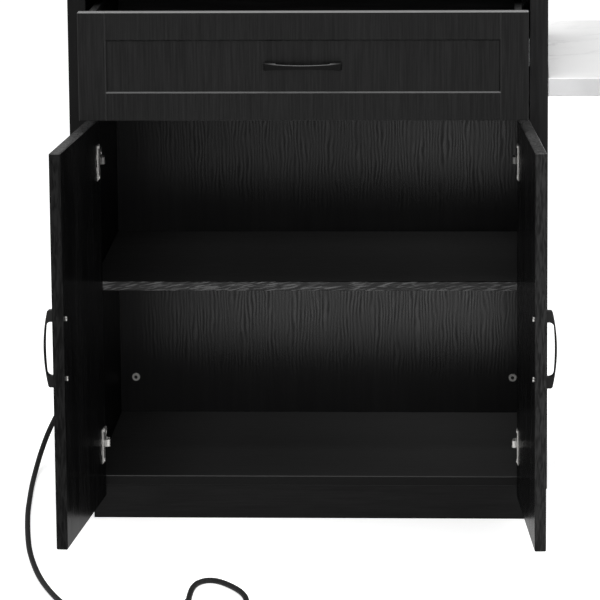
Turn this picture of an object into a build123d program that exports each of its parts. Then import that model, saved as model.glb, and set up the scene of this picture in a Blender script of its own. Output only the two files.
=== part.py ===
from build123d import *
import math
import os

os.makedirs("parts", exist_ok=True)

# Sizes in millimetres. X runs across the cart, Y from front to back, Z up from the floor.

# Carcass
cart_width = 780.0
carcass_depth = 515.0
counter_height = 920.0
side_thickness = 30.0
worktop_thickness = 30.0
worktop_overhang = 10.0
plinth_height = 58.0
plinth_board = 15.0
plinth_setback = 27.0
plinth_inset = 26.0
bottom_thickness = 16.0
bottom_setback = 20.0
back_thickness = 5.0
rear_rail_thickness = 15.0
rear_rail_height = 80.0
rear_rail_centre = 137.0
middle_rail_thickness = 16.0
middle_rail_depth = 60.0
top_rail_thickness = 15.0
board_ease = 0.8
slab_ease = 1.6

# Shelf and its pins
shelf_top = 402.5
shelf_thickness = 15.0
shelf_setback = 20.0
shelf_play = 1.0
shelf_back_gap = 18.0
pin_diameter = 5.0
pin_depth = 9.0
pin_reach = 10.0
pin_play = 0.05
pin_spacing = 32.0
pin_inset_share = 0.14

# Doors and drawer front
reveal = 2.0
front_thickness = 18.0
front_frame = 44.0
front_ease = 1.4
recess_depth = 3.0
recess_taper_deg = 42.0
joint_groove_width = 2.0
joint_groove_depth = 0.9
door_drop = 13.0
drawer_front_height = 174.0
door_rest_deg = 94.5

# Bow pulls
pull_length = 124.0
pull_rise = 18.0
pull_end_rise = 10.5
pull_grip = 3.4
pull_gap_rise = 12.4
pull_foot = 19.0
pull_foot_width = 12.0
pull_waist = 7.0
pull_gap_round = 8.0
pull_end_round = 3.5
pull_ease = 0.9
door_pull_below = 313.5
pull_spacing = 96.0
pull_screw_diameter = 4.0
pull_screw_play = 0.1
pull_screw_bite = 6.0
pull_hole_diameter = 4.6
screw_head_diameter = 8.0
screw_head_height = 2.4

# Concealed hinges, measured from the inner face of the side and from the front plane
hinge_below_top = 69.5
hinge_above_foot = 91.0
cup_length = 42.0
cup_width = 35.0
cup_depth = 11.0
cup_edge = 3.2
cup_play = 0.1
cup_floor = 1.0
pocket_length = 38.5
flange_length = 58.0
flange_width = 24.0
flange_thickness = 1.2
hinge_pin_diameter = 3.0
hinge_pin_play = 0.05
hinge_pin_side = 6.0
hinge_pin_back = 23.0
link_height = 11.0
link_sheet = 2.5
link_eye = 6.4
link_elbow_side = 22.0
link_elbow_back = 8.0
link_knee_side = 39.4
link_knee_front = 1.4
link_tip_side = 31.2
link_tip_front = 11.0
link_bend = 3.0
link_share = 0.589
hinge_side_play = 0.3
arm_sheet = 1.5
arm_height = 13.5
arm_ear = 6.4
arm_ear_lift = 2.8
arm_web_back = 15.0
arm_back = 62.0
plate_sheet = 2.0
plate_wing = 50.0
plate_length = 34.0
plate_back = 20.0

# Drawer box and its slides
drawer_rest_out = 160.0
drawer_side = 12.0
drawer_back_board = 12.0
drawer_side_height = 135.0
drawer_side_below = 8.0
drawer_box_length = 450.0
drawer_bottom_board = 5.0
drawer_bottom_lift = 12.0
groove_depth = 5.0
groove_play = 0.1
slide_space = 13.0
slide_height = 45.0
slide_sheet = 1.2
slide_play = 0.3
slide_length = 440.0
slide_setback = 22.0
slide_outer_depth = 9.5
slide_middle_start = 2.0
slide_middle_end = 10.8
slide_inner_start = 4.4
slide_middle_share = 0.5
slide_lift = 52.0

# Side leaf and its brackets
leaf_top = 743.0
leaf_thickness = 30.0
leaf_length = 300.0
leaf_depth = 705.0
bracket_arm = 220.0
bracket_leg = 38.0
bracket_width = 30.0
bracket_sheet = 5.0
bracket_rib = 28.0
bracket_shares = (0.52, 0.70, 0.88)
bracket_hole_inset = 16.0
bracket_hole_spacing = 18.0
bracket_screw_diameter = 5.0
bracket_screw_length = 18.0
bracket_screw_play = 0.1

# Back-panel screws on cup washers
back_screw_inset = 27.0
back_screw_washer = 14.5
back_screw_washer_height = 1.2
back_screw_head = 12.5
back_screw_head_height = 2.2
back_screw_diameter = 4.0
back_screw_length = 14.0
back_screw_socket = 5.5
back_screw_socket_depth = 2.6

# Power strip on the left side
strip_length = 200.0
strip_width = 50.0
strip_thickness = 28.0
strip_round = 4.0
strip_foot = 300.0
strip_depth = 452.0
socket_diameter = 36.0
socket_height = 1.2
socket_pitch = 58.0
socket_slot_width = 2.0
socket_slot_length = 7.0
socket_slot_gap = 12.7
socket_earth = 5.0
socket_earth_drop = 10.5

# Cord, strain relief, coil, tie and plug
cord_diameter = 9.0
relief_length = 38.0
relief_wide = 18.0
relief_narrow = 11.0
cord_bend_share = 0.45
coil_turns_in = 2.0
coil_turns_climb = 0.5
coil_turns_out = 1.75
coil_radius = 53.0
coil_gap = 0.6
tie_sheet = 1.2
tie_width = 12.0
tie_play = 0.9
plug_relief_length = 24.0
plug_length = 40.0
plug_width = 30.0
plug_height = 25.0
plug_round = 5.0
blade_length = 17.0
blade_width = 6.3
blade_sheet = 1.6
blade_gap = 12.7
earth_diameter = 4.8
earth_length = 20.0

# Route of the cord: place across the cart, depth behind the front plane, height; then on the floor
cord_first_drop = 55.0
cord_air_points = (
    (-426.0, 450.0, 152.0), (-455.0, 444.0, 105.0), (-479.5, 420.0, 62.0), (-491.5, 372.0, 28.0),
    (-495.0, 306.0, 6.0))
cord_floor_points = (
    (-491.0, 222.0), (-484.5, 132.0), (-477.5, 42.0), (-468.0, -46.0), (-458.0, -128.0), (-447.0, -206.0),
    (-430.0, -296.0), (-408.0, -390.0), (-378.0, -482.0), (-354.0, -540.0), (-300.0, -592.0),
    (-236.0, -596.0), (-192.0, -560.0), (-170.0, -505.0), (-168.5, -455.0), (-168.0, -406.5),
    (-156.5, -390.5), (-138.0, -384.5), (-119.5, -390.5), (-105.0, -411.0), (-88.0, -446.0),
    (-79.0, -490.0), (-73.5, -535.0))
coil_lead = (-72.0, -572.0)
coil_lead_run = 44.0

# Derived places
half_width = cart_width / 2
inner_half = half_width - side_thickness
front = -carcass_depth / 2
rear = carcass_depth / 2
back_rear = rear - rear_rail_thickness
back_face = back_rear - back_thickness
carcass_top = counter_height - worktop_thickness
bottom_top = plinth_height + bottom_thickness
drawer_top = carcass_top - top_rail_thickness - reveal
drawer_foot = drawer_top - drawer_front_height
rail_top = drawer_foot - reveal
rail_foot = rail_top - middle_rail_thickness
door_top = rail_foot - reveal
door_foot = plinth_height - door_drop
door_width = (2 * inner_half - 3 * reveal) / 2
door_edge = -inner_half + reveal
door_free = door_edge + door_width
door_back = front + front_thickness
hinge_heights = (door_top - hinge_below_top, door_foot + hinge_above_foot)
hinge_axis = Axis((door_edge, front, 0), (0, 0, 1))
cord_radius = cord_diameter / 2


def save(name, shape):
    export_step(shape, "parts/" + name + ".step")


def group(solids):
    return Compound(children=solids)


def mirrored(shape):
    return mirror(shape, about=Plane.YZ)


def block(x0, x1, y0, y1, z0, z1, ease=0):
    """Board between two corners, with its edges eased."""
    place = Pos((x0 + x1) / 2, (y0 + y1) / 2, (z0 + z1) / 2)
    board = place * Box(x1 - x0, y1 - y0, z1 - z0)
    if ease:
        board = chamfer(board.edges(), ease)
    return board


def along_y(x, z, y0, y1, radius):
    """Round bar along Y between two depths."""
    return Pos(x, (y0 + y1) / 2, z) * Rot(90, 0, 0) * Cylinder(radius, y1 - y0)


def along_x(y, z, x0, x1, radius):
    """Round bar along X between two places."""
    return Pos((x0 + x1) / 2, y, z) * Rot(0, 90, 0) * Cylinder(radius, x1 - x0)


# Carcass boards

def side_panel():
    """Left side with its shelf-pin holes."""
    side = block(-half_width, -inner_half, front, rear, plinth_height, carcass_top, board_ease)
    for y in pin_depths:
        for step in (-1, 0, 1):
            z = pin_centre + step * pin_spacing
            side -= along_x(y, z, -inner_half - pin_depth, -inner_half, pin_diameter / 2 + pin_play)
    return side


shelf_front = front + shelf_setback
shelf_rear = back_face - shelf_back_gap
shelf_length = shelf_rear - shelf_front
shelf_foot = shelf_top - shelf_thickness
pin_centre = shelf_foot - pin_diameter / 2
pin_depths = (shelf_front + pin_inset_share * shelf_length, shelf_rear - pin_inset_share * shelf_length)

left_side = side_panel()
right_side = mirrored(left_side)
bottom = block(-inner_half, inner_half, front + bottom_setback, back_face, plinth_height, bottom_top, board_ease)

rear_rail = block(-inner_half, inner_half, back_rear, rear,
                  rear_rail_centre - rear_rail_height / 2, rear_rail_centre + rear_rail_height / 2)
upper_rear_rail = block(-inner_half, inner_half, back_rear, rear, carcass_top - rear_rail_height, carcass_top)
back = block(-inner_half, inner_half, back_face, back_rear, plinth_height, carcass_top)
back_screws = []
for side in (-1, 1):
    x = side * (inner_half - back_screw_inset)
    hole = along_y(x, rear_rail_centre, back_face, back_face + back_screw_length, back_screw_diameter / 2)
    back -= hole
    rear_rail -= hole
    washer_face = back_face - back_screw_washer_height
    washer = Pos(x, (back_face + washer_face) / 2, rear_rail_centre) * Rot(90, 0, 0) * Cone(
        back_screw_washer / 2, back_screw_head / 2, back_screw_washer_height)
    head = along_y(x, rear_rail_centre, washer_face - back_screw_head_height, washer_face, back_screw_head / 2)
    socket_end = washer_face - back_screw_head_height + back_screw_socket_depth
    socket = along_y(x, rear_rail_centre, washer_face - back_screw_head_height, socket_end, back_screw_socket / 2)
    back_screws.append(washer + head + hole - socket)

middle_rail = block(-inner_half, inner_half, front, front + middle_rail_depth, rail_foot, rail_top, board_ease)
top_rail = block(-inner_half, inner_half, front, front + middle_rail_depth,
                 carcass_top - top_rail_thickness, carcass_top, board_ease)
worktop = block(-half_width - worktop_overhang, half_width + worktop_overhang, front - worktop_overhang,
                rear + worktop_overhang, carcass_top, counter_height, slab_ease)

shelf = block(-inner_half + shelf_play, inner_half - shelf_play, shelf_front, shelf_rear,
              shelf_foot, shelf_top, board_ease)
pins = []
for side in (-1, 1):
    for y in pin_depths:
        ends = sorted((side * (inner_half + pin_depth), side * (inner_half - pin_reach)))
        pins.append(along_x(y, pin_centre, ends[0], ends[1], pin_diameter / 2))

plinth_half = half_width - plinth_inset
plinth_y = (front + plinth_setback, rear - plinth_setback)
plinth_front = block(-plinth_half, plinth_half, plinth_y[0], plinth_y[0] + plinth_board, 0, plinth_height)
plinth_back = block(-plinth_half, plinth_half, plinth_y[1] - plinth_board, plinth_y[1], 0, plinth_height)
plinth_left = block(-plinth_half, -plinth_half + plinth_board, plinth_y[0] + plinth_board,
                    plinth_y[1] - plinth_board, 0, plinth_height)
plinth_brace = block(-plinth_board / 2, plinth_board / 2, plinth_y[0] + plinth_board,
                     plinth_y[1] - plinth_board, 0, plinth_height)

save("left_side_panel", left_side)
save("bottom_panel", bottom)
save("back_panel", back)
save("rear_rails", group([rear_rail, upper_rear_rail]))
save("back_panel_screws", group(back_screws))
save("middle_rail", middle_rail)
save("top_front_rail", top_rail)
save("worktop", worktop)
save("shelf", shelf)
save("shelf_pins", group(pins))
save("plinth_front", plinth_front)
save("plinth_back", plinth_back)
save("plinth_left", plinth_left)
save("plinth_right", mirrored(plinth_left))
save("plinth_brace", plinth_brace)


# Doors, drawer front and pulls

def framed_front(x0, x1, z0, z1):
    """Framed board with a recessed field and joint grooves, its face on the front plane."""
    board = block(x0, x1, front, front + front_thickness, z0, z1, front_ease)
    middle = Plane(((x0 + x1) / 2, front, (z0 + z1) / 2), x_dir=(1, 0, 0), z_dir=(0, 1, 0))
    field = middle * Rectangle(x1 - x0 - 2 * front_frame, z1 - z0 - 2 * front_frame)
    board -= extrude(field, recess_depth, taper=recess_taper_deg)
    for x in (x0 + front_frame, x1 - front_frame):
        corners = [(x - joint_groove_width / 2, front), (x, front + joint_groove_depth),
                   (x + joint_groove_width / 2, front)]
        groove = make_face(Polyline(*corners, close=True))
        board -= extrude(Pos(0, 0, z0) * groove, z1 - z0)
    return board


def bow_pull():
    """Bow pull along X with a narrow waist, its feet on Y=0, standing out towards -Y."""
    reach = pull_length / 2
    gap = reach - pull_foot
    outer = ThreePointArc((-reach, -pull_end_rise), (0, -pull_rise), (reach, -pull_end_rise))
    inner = ThreePointArc((gap, -pull_gap_rise), (0, pull_grip - pull_rise), (-gap, -pull_gap_rise))
    right_foot = [Line((reach, -pull_end_rise), (reach, 0)), Line((reach, 0), (gap, 0)),
                  Line((gap, 0), (gap, -pull_gap_rise))]
    left_foot = [Line((-gap, -pull_gap_rise), (-gap, 0)), Line((-gap, 0), (-reach, 0)),
                 Line((-reach, 0), (-reach, -pull_end_rise))]
    side_view = make_face([outer] + right_foot + [inner] + left_foot)
    foot_middle = (gap + reach) / 2
    raised = side_view.vertices().filter_by(lambda v: v.Y < 0)
    side_view = fillet(raised.filter_by(lambda v: abs(v.X) < foot_middle), pull_gap_round)
    raised = side_view.vertices().filter_by(lambda v: v.Y < 0)
    side_view = fillet(raised.filter_by(lambda v: abs(v.X) > foot_middle), pull_end_round)
    bow = extrude(side_view, pull_foot_width / 2, both=True)
    corner, waist = pull_foot_width / 2, pull_waist / 2
    plan = make_face([ThreePointArc((-reach, corner), (0, waist), (reach, corner)),
                      Line((reach, corner), (reach, -corner)),
                      ThreePointArc((reach, -corner), (0, -waist), (-reach, -corner)),
                      Line((-reach, -corner), (-reach, corner))])
    bow &= Rot(90, 0, 0) * extrude(plan, pull_rise, both=True)
    bow = chamfer(bow.edges().filter_by(lambda e: e.center().Y < -pull_end_rise / 2), pull_ease)
    for side in (-1, 1):
        bow -= along_y(side * pull_spacing / 2, 0, -pull_screw_bite, 0,
                       pull_screw_diameter / 2 + pull_screw_play)
    return bow


def pull_screws(board):
    """Two pan-head screws for a pull along X whose feet stand on Y=0, heads behind the board."""
    out = []
    for side in (-1, 1):
        x = side * pull_spacing / 2
        shank = along_y(x, 0, -pull_screw_bite, board, pull_screw_diameter / 2)
        head = along_y(x, 0, board, board + screw_head_height, screw_head_diameter / 2)
        round_edge = head.edges().filter_by(GeomType.CIRCLE).sort_by(Axis.Y)[-1]
        out.append(shank + fillet(round_edge, screw_head_height / 2))
    return out


def pull_holes():
    """Screw holes through the board behind a pull along X."""
    holes = [along_y(side * pull_spacing / 2, 0, 0, front_thickness, pull_hole_diameter / 2) for side in (-1, 1)]
    return holes[0] + holes[1]


def place_all(place, solids):
    return [place * solid for solid in solids]


door_pull_place = Pos(door_free - front_frame / 2, front, door_top - door_pull_below) * Rot(0, 90, 0)
drawer_middle = (drawer_top + drawer_foot) / 2
drawer_pull_place = Pos(0, front + recess_depth, drawer_middle)


def cup_shape(z, length, width, y0, y1):
    """Oval cup body on the door's inner face."""
    middle = door_edge + cup_edge + cup_length / 2
    plane = Plane((middle, y0, z), x_dir=(1, 0, 0), z_dir=(0, 1, 0))
    return extrude(plane * SlotOverall(length, width), y1 - y0)


def hinge_cup(z):
    """Cup with its flange and the pocket that takes the link."""
    cup = cup_shape(z, cup_length, cup_width, door_back - cup_depth, door_back)
    middle = door_edge + cup_edge + cup_length / 2
    plane = Plane((middle, door_back, z), x_dir=(0, 0, 1), z_dir=(0, 1, 0))
    cup += extrude(plane * Rectangle(flange_length, flange_width), flange_thickness)
    pocket_half = link_height / 2 + hinge_side_play
    cup -= block(middle - pocket_length / 2, middle + pocket_length / 2, door_back - cup_depth + cup_floor,
                 door_back + flange_thickness, z - pocket_half, z + pocket_half)
    return cup


def door_panel():
    """Left door, closed, with its cup seats and screw holes."""
    door = framed_front(door_edge, door_free, door_foot, door_top)
    for z in hinge_heights:
        door -= cup_shape(z, cup_length + 2 * cup_play, cup_width + 2 * cup_play,
                          door_back - cup_depth - cup_play, door_back)
    return door - door_pull_place * pull_holes()


def opened(shape):
    return shape.rotate(hinge_axis, -door_rest_deg)


left_door = opened(door_panel())
left_pull = opened(door_pull_place * bow_pull())
left_pull_screws = [opened(s) for s in place_all(door_pull_place, pull_screws(front_thickness))]
left_cups = [opened(hinge_cup(z)) for z in hinge_heights]
save("left_door", left_door)
save("right_door", mirrored(left_door))
save("left_door_pull", left_pull)
save("right_door_pull", mirrored(left_pull))
save("left_pull_screws", group(left_pull_screws))
save("right_pull_screws", group([mirrored(s) for s in left_pull_screws]))
for cup, level in zip(left_cups, ("upper", "lower")):
    save("left_" + level + "_hinge_cup", cup)
    save("right_" + level + "_hinge_cup", mirrored(cup))

# Hinge arms, links and pins on the left side
pin_x = -inner_half + hinge_pin_side
pin_y = front + hinge_pin_back
link_axis = Axis((pin_x, pin_y, 0), (0, 0, 1))


def hinge_link(z):
    """Cranked link, closed: pinned on the arm, reaching into the cup's pocket."""
    line = FilletPolyline(
        (pin_x, pin_y), (pin_x + link_elbow_side, pin_y + link_elbow_back),
        (pin_x + link_knee_side, pin_y - link_knee_front), (pin_x + link_tip_side, pin_y - link_tip_front),
        radius=link_bend)
    flat = trace(line, line_width=link_sheet) + Pos(pin_x, pin_y) * Circle(link_eye / 2)
    flat -= Pos(pin_x, pin_y) * Circle(hinge_pin_diameter / 2 + hinge_pin_play)
    return Pos(0, 0, z) * extrude(flat, link_height / 2, both=True)


def hinge_arm(z):
    """Mounting plate and channel arm with the two ears that hold the pin."""
    base = -inner_half
    cheek_in = link_height / 2 + hinge_side_play
    cheek_out = cheek_in + arm_sheet
    channel_front = pin_y + arm_web_back
    channel_back = pin_y + arm_back
    plate_front = pin_y + plate_back
    arm = block(base, base + plate_sheet, plate_front, plate_front + plate_length,
                z - plate_wing / 2, z + plate_wing / 2)
    arm += block(base + arm_height - arm_sheet, base + arm_height, channel_front, channel_back,
                 z - cheek_out, z + cheek_out)
    for low, high in ((-cheek_out, -cheek_in), (cheek_in, cheek_out)):
        arm += block(base + plate_sheet, base + arm_height, channel_front, channel_back, z + low, z + high)
        arm += block(base + arm_ear_lift, base + arm_ear_lift + arm_ear, pin_y - arm_ear / 2, channel_front,
                     z + low, z + high)
    arm -= Pos(pin_x, pin_y, z) * Cylinder(hinge_pin_diameter / 2 + hinge_pin_play, 2 * cheek_out)
    return arm


def hinge_pin(z):
    return Pos(pin_x, pin_y, z) * Cylinder(
        hinge_pin_diameter / 2, link_height + 2 * hinge_side_play + 2 * arm_sheet)


hinge_pins = []
for z, level in zip(hinge_heights, ("upper", "lower")):
    arm = hinge_arm(z)
    link = hinge_link(z).rotate(link_axis, -link_share * door_rest_deg)
    pin = hinge_pin(z)
    hinge_pins += [pin, mirrored(pin)]
    save("left_" + level + "_hinge_arm", arm)
    save("right_" + level + "_hinge_arm", mirrored(arm))
    save("left_" + level + "_hinge_link", link)
    save("right_" + level + "_hinge_link", mirrored(link))
save("hinge_pins", group(hinge_pins))

# Drawer, built closed and then drawn out to its rest place
box_half = inner_half - slide_space
box_front = front + front_thickness
box_rear = box_front + drawer_box_length
box_top = drawer_top - drawer_side_below
box_foot = box_top - drawer_side_height
floor_foot = box_foot + drawer_bottom_lift
floor_top = floor_foot + drawer_bottom_board
groove_low = floor_foot - groove_play
groove_high = floor_top + groove_play
floor_half = box_half - drawer_side + groove_depth - groove_play
floor_front = box_front - groove_depth + groove_play
drawer_out = Pos(0, -drawer_rest_out, 0)

drawer_front = framed_front(-inner_half + reveal, inner_half - reveal, drawer_foot, drawer_top)
drawer_front -= drawer_pull_place * pull_holes()
drawer_front -= block(-floor_half - groove_play, floor_half + groove_play, box_front - groove_depth, box_front,
                      groove_low, groove_high)
drawer_left = block(-box_half, -box_half + drawer_side, box_front, box_rear, box_foot, box_top, board_ease)
drawer_left -= block(-box_half + drawer_side - groove_depth, -box_half + drawer_side, box_front, box_rear,
                     groove_low, groove_high)
drawer_back = block(-box_half + drawer_side, box_half - drawer_side, box_rear - drawer_back_board, box_rear,
                    floor_top, box_top, board_ease)
drawer_floor = block(-floor_half, floor_half, floor_front, box_rear, floor_foot, floor_top)
save("drawer_front", drawer_out * drawer_front)
save("drawer_left_side", drawer_out * drawer_left)
save("drawer_right_side", drawer_out * mirrored(drawer_left))
save("drawer_back", drawer_out * drawer_back)
save("drawer_bottom", drawer_out * drawer_floor)
save("drawer_pull", drawer_out * drawer_pull_place * bow_pull())
drawer_screws = pull_screws(front_thickness - recess_depth)
save("drawer_pull_screws", group(place_all(drawer_out * drawer_pull_place, drawer_screws)))

# Ball-bearing slides: outer member on the cart, middle member, inner member on the drawer
slide_centre = box_foot + slide_lift
slide_y0 = front + slide_setback
slide_y1 = slide_y0 + slide_length


def channel(x_web, x_lip, half, out):
    """Thin channel along Y: web at x_web, lips running to x_lip."""
    x_in = x_web + math.copysign(slide_sheet, x_lip - x_web)
    inner = half - slide_sheet
    corners = [(x_web, -half), (x_lip, -half), (x_lip, -inner), (x_in, -inner),
               (x_in, inner), (x_lip, inner), (x_lip, half), (x_web, half)]
    plane = Plane((0, slide_y0 - out, slide_centre), x_dir=(1, 0, 0), z_dir=(0, -1, 0))
    return extrude(plane * make_face(Polyline(*corners, close=True)), -slide_length)


outer_half = slide_height / 2
middle_half = outer_half - slide_sheet - slide_play
inner_member_half = middle_half - slide_sheet - slide_play
outer_slide = channel(-inner_half, -inner_half + slide_outer_depth, outer_half, 0)
middle_slide = channel(-inner_half + slide_middle_start, -inner_half + slide_middle_end, middle_half,
                       slide_middle_share * drawer_rest_out)
inner_slide = channel(-inner_half + slide_space, -inner_half + slide_inner_start, inner_member_half,
                      drawer_rest_out)
for name, member in (("outer", outer_slide), ("middle", middle_slide), ("inner", inner_slide)):
    save("left_slide_" + name, member)
    save("right_slide_" + name, mirrored(member))

# Side leaf on three brackets
leaf_foot = leaf_top - leaf_thickness
leaf_front = front
leaf = block(half_width, half_width + leaf_length, leaf_front, leaf_front + leaf_depth,
             leaf_foot, leaf_top, slab_ease)
right_side_drilled = right_side
brackets = []
bracket_screws = []
for share in bracket_shares:
    y = front + share * carcass_depth
    low, high = y - bracket_width / 2, y + bracket_width / 2
    bracket = block(half_width, half_width + bracket_arm, low, high, leaf_foot - bracket_sheet, leaf_foot)
    bracket += block(half_width, half_width + bracket_sheet, low, high, leaf_foot - bracket_leg, leaf_foot)
    corner = (half_width + bracket_sheet, leaf_foot - bracket_sheet)
    rib = make_face(Polyline(corner, (corner[0] + bracket_rib, corner[1]), (corner[0], corner[1] - bracket_rib),
                             close=True))
    plane = Plane((0, y - bracket_sheet / 2, 0), x_dir=(1, 0, 0), z_dir=(0, -1, 0))
    bracket += extrude(plane * rib, -bracket_sheet)
    arm_x = half_width + bracket_arm - bracket_hole_inset
    leg_z = leaf_foot - bracket_leg + bracket_hole_inset
    hole_radius = bracket_screw_diameter / 2 + bracket_screw_play
    up_hole = Pos(arm_x, y, leaf_foot) * Cylinder(hole_radius, 2 * bracket_screw_length)
    bracket -= up_hole
    leaf -= up_hole
    up_length = bracket_sheet + bracket_screw_length - bracket_screw_play
    up_shank = Pos(arm_x, y, leaf_foot - bracket_sheet + up_length / 2) * Cylinder(
        bracket_screw_diameter / 2, up_length)
    up_head = Pos(arm_x, y, leaf_foot - bracket_sheet - screw_head_height / 2) * Cylinder(
        screw_head_diameter / 2, screw_head_height)
    bracket_screws.append(up_shank + up_head)
    for screw_y in (y - bracket_hole_spacing / 2, y + bracket_hole_spacing / 2):
        in_hole = along_x(screw_y, leg_z, half_width - bracket_screw_length, half_width + bracket_sheet, hole_radius)
        bracket -= in_hole
        right_side_drilled -= in_hole
        in_shank = along_x(screw_y, leg_z, half_width - bracket_screw_length + bracket_screw_play,
                           half_width + bracket_sheet, bracket_screw_diameter / 2)
        in_head = along_x(screw_y, leg_z, half_width + bracket_sheet, half_width + bracket_sheet + screw_head_height,
                          screw_head_diameter / 2)
        bracket_screws.append(in_shank + in_head)
    brackets.append(bracket)
save("right_side_panel", right_side_drilled)
save("side_leaf", leaf)
save("leaf_brackets", group(brackets))
save("leaf_bracket_screws", group(bracket_screws))

# Power strip, low on the left side
strip_y = front + strip_depth
strip_x = -half_width - strip_thickness / 2
strip_face = -half_width - strip_thickness
strip = Pos(strip_x, strip_y, strip_foot + strip_length / 2) * Box(strip_thickness, strip_width, strip_length)
outer_edges = strip.edges().filter_by(lambda e: e.center().X < strip_x)
strip = fillet(outer_edges, strip_round)
sockets = []
for step in (-1, 0, 1):
    z = strip_foot + strip_length / 2 + step * socket_pitch
    face = along_x(strip_y, z, strip_face - socket_height, strip_face, socket_diameter / 2)
    x = strip_face - socket_height / 2
    for side in (-1, 1):
        face -= Pos(x, strip_y + side * socket_slot_gap / 2, z) * Box(
            socket_height, socket_slot_width, socket_slot_length)
    face -= along_x(strip_y, z - socket_earth_drop, strip_face - socket_height, strip_face, socket_earth / 2)
    sockets.append(face)
relief = Pos(strip_x, strip_y, strip_foot - relief_length / 2) * Cone(
    relief_narrow / 2, relief_wide / 2, relief_length)
save("power_strip", strip)
save("strip_sockets", group(sockets))
save("cord_relief", relief)

# Cord from the strain relief to the coil
coil_pitch = cord_diameter + coil_gap
coil_low = cord_radius + tie_sheet + tie_play
coil_high = coil_low + coil_pitch
route = [Vector(strip_x, strip_y, strip_foot - relief_length),
         Vector(strip_x, strip_y, strip_foot - relief_length - cord_first_drop)]
route += [Vector(x, front + depth, z) for x, depth, z in cord_air_points]
route += [Vector(x, front + depth, cord_radius) for x, depth in cord_floor_points]
route.append(Vector(coil_lead[0], front + coil_lead[1], coil_low))
route.append(route[-1] - Vector(0, coil_lead_run, 0))

radii = []
for before, here, after in zip(route[:-2], route[1:-1], route[2:]):
    turn = math.radians((here - before).get_angle(after - here))
    shorter = min((here - before).length, (after - here).length)
    radii.append(cord_bend_share * shorter / math.tan(turn / 2))
cord_line = FilletPolyline(*route, radius=radii)
cord_section = Plane(route[0], z_dir=route[1] - route[0]) * Circle(cord_radius)
cord = sweep(cord_section, path=cord_line)

# Coil: a spiral in on the floor, a climb, and a spiral out on top of it
coil_x = route[-1].X + coil_radius
coil_y = route[-1].Y - cord_diameter
turns_top = coil_turns_in + coil_turns_climb
turns_back = coil_turns_in + coil_turns_climb / 2
coil_turns = turns_top + coil_turns_out


def coil_point(turns):
    """Middle of the wound cord after a number of turns."""
    radius = coil_radius - coil_pitch * (turns_back - abs(turns - turns_back))
    share = min(max((turns - coil_turns_in) / coil_turns_climb, 0), 1)
    height = coil_low + coil_pitch * share * share * (3 - 2 * share)
    angle = math.pi + 2 * math.pi * turns
    return Vector(coil_x + radius * math.cos(angle), coil_y + radius * math.sin(angle), height)


def coil_way(turns):
    """Direction of the wound cord after a number of turns."""
    step_share = 0.002
    return (coil_point(turns + step_share) - coil_point(turns - step_share)).normalized()


def biarc(start, start_way, end, end_way):
    """Two arcs that leave and arrive along the given directions."""
    chord = end - start
    ways = start_way + end_way
    a = 2 * (start_way.dot(end_way) - 1)
    b = -2 * chord.dot(ways)
    c = chord.dot(chord)
    reach = (-b - math.sqrt(b * b - 4 * a * c)) / (2 * a)
    middle = (start + start_way * reach + end - end_way * reach) / 2
    first = TangentArc(start, middle, tangent=start_way)
    second = TangentArc(middle, end, tangent=first % 1)
    return [first, second]


quarters = round(4 * coil_turns)
coil_knots = [coil_turns * i / quarters for i in range(quarters + 1)]
coil_ways = [coil_way(t) for t in coil_knots]
coil_ways[0] = Vector(0, -1, 0)
coil_start = coil_point(0)
coil_end = coil_point(coil_turns)
coil_ways[-1] = Vector(1, 0, 0)
coil_edges = [Line(coil_start - coil_ways[0] * cord_diameter, coil_start)]
for i in range(quarters):
    coil_edges += biarc(coil_point(coil_knots[i]), coil_ways[i], coil_point(coil_knots[i + 1]), coil_ways[i + 1])
coil_tail = coil_end + coil_ways[-1] * coil_radius
coil_edges.append(Line(coil_end, coil_tail))
coil_line = Wire(coil_edges)
coil_section = Plane(coil_edges[0] @ 0, z_dir=coil_ways[0]) * Circle(cord_radius)
coil = sweep(coil_section, path=coil_line)
gap_steps = 800
coil_spots = [coil_line @ (i / gap_steps) for i in range(gap_steps + 1)]
neighbours = round(3 * cord_diameter * gap_steps / coil_line.length)
closest = min((coil_spots[i] - coil_spots[j]).length
              for i in range(gap_steps + 1) for j in range(i + neighbours, gap_steps + 1))
print("coil length", round(coil_line.length), "least gap", round(closest - cord_diameter, 2))

tie_low = coil_point(turns_top).X - coil_x - cord_radius - tie_play
tie_high = coil_point(coil_turns_climb).X - coil_x + cord_radius + tie_play
tie_top = coil_high + cord_radius + tie_play
tie_shell = block(coil_x + tie_low - tie_sheet, coil_x + tie_high + tie_sheet, coil_y - tie_width / 2,
                  coil_y + tie_width / 2, 0, tie_top + tie_sheet)
tie_room = block(coil_x + tie_low, coil_x + tie_high, coil_y - tie_width / 2, coil_y + tie_width / 2,
                 tie_sheet, tie_top)
tie = tie_shell - tie_room

# Plug beside the coil, its blades pointing away from it
plug_start = coil_tail
plug_relief_end = plug_start.X + plug_relief_length
plug_body_end = plug_relief_end + plug_length
plug_relief = Pos(plug_start.X + plug_relief_length / 2, plug_start.Y, plug_start.Z) * Rot(0, 90, 0) * Cone(
    relief_narrow / 2, relief_wide / 2, plug_relief_length)
plug_middle = Pos(plug_relief_end + plug_length / 2, plug_start.Y, plug_start.Z)
plug_body = plug_middle * Box(plug_length, plug_width, plug_height)
plug_body = fillet(plug_body.edges(), plug_round)
plug = plug_body + plug_relief
blades = []
for side in (-1, 1):
    blades.append(Pos(plug_body_end + blade_length / 2, plug_start.Y + side * blade_gap / 2, plug_start.Z)
                  * Box(blade_length, blade_sheet, blade_width))
blades.append(along_x(plug_start.Y, plug_start.Z - plug_height / 2 + earth_diameter + blade_sheet,
                      plug_body_end, plug_body_end + earth_length, earth_diameter / 2))
save("power_cord", cord)
save("cord_coil", coil)
save("cord_tie", tie)
save("power_plug", plug)
save("plug_blades", group(blades))
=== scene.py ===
import math

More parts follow.
